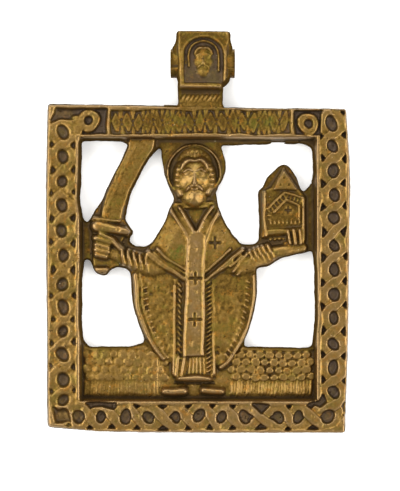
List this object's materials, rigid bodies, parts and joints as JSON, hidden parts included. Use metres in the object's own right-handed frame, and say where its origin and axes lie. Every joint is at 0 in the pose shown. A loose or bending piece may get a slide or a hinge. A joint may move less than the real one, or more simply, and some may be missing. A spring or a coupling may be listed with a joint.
{
  "type": "pectoral icon",
  "caption": "Cast brass plaque pendant with a cord loop, a braided border and a pierced low-relief robed figure holding a sabre and a small church.",
  "frame": {"origin": "centre of the plaque's outline, on the plane of its back", "axes": "+X across the plaque to the church side, +Y up to the cord loop, +Z out of the face"},
  "size_m": [0.0458, 0.0603, 0.0055],
  "materials": {
    "cast_brass": "worn cast brass, dark brown patina in the hollows, bright on the high points"
  },
  "bodies": {
    "root": {"cast_icon": "cast_brass"}
  },
  "joints": []
}
